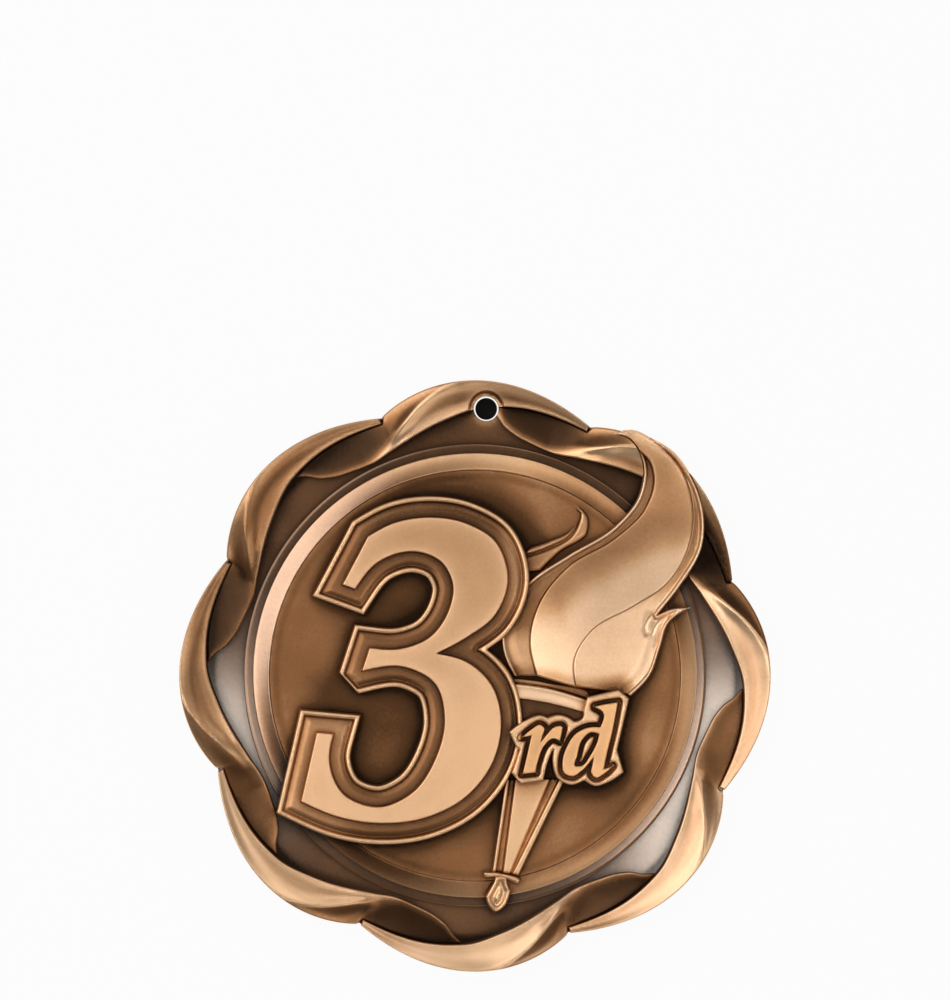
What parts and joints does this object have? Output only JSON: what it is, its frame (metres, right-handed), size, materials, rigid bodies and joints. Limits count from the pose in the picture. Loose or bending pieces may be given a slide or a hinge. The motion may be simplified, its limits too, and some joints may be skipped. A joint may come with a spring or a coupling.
{
  "type": "award medal",
  "caption": "Scalloped award medal in antique bronze with a twisted-leaf border, a rimmed numeral and a flaming torch in relief, and a hole at the top for a ribbon ring.",
  "frame": {"origin": "centre of the flat back, at the bottom of the box when the medal lies on its back", "axes": "+Z out of the front face, +Y towards the hanging hole, +X to the right of someone facing the front"},
  "size_m": [0.0762, 0.0762, 0.0055],
  "materials": {
    "bright_bronze": "buffed antique bronze plating",
    "dark_bronze": "dark antique patina left in the low ground"
  },
  "bodies": {
    "root": {"back_plate": "dark_bronze", "field_disc": "dark_bronze", "bead_ring": "bright_bronze", "border_leaf_1": "bright_bronze", "border_leaf_2": "bright_bronze", "border_leaf_3": "bright_bronze", "border_leaf_4": "bright_bronze", "border_leaf_5": "bright_bronze", "border_leaf_6": "bright_bronze", "border_leaf_7": "bright_bronze", "border_leaf_8": "bright_bronze", "numeral_plate": "dark_bronze", "numeral_face": "bright_bronze", "suffix_plate": "bright_bronze", "torch_cup": "bright_bronze", "torch_bowl": "dark_bronze", "torch_handle": "bright_bronze", "torch_guard": "bright_bronze", "torch_pommel": "bright_bronze", "flame_back": "bright_bronze", "flame_middle": "bright_bronze", "flame_front": "bright_bronze", "flame_wisp": "bright_bronze"}
  },
  "joints": []
}
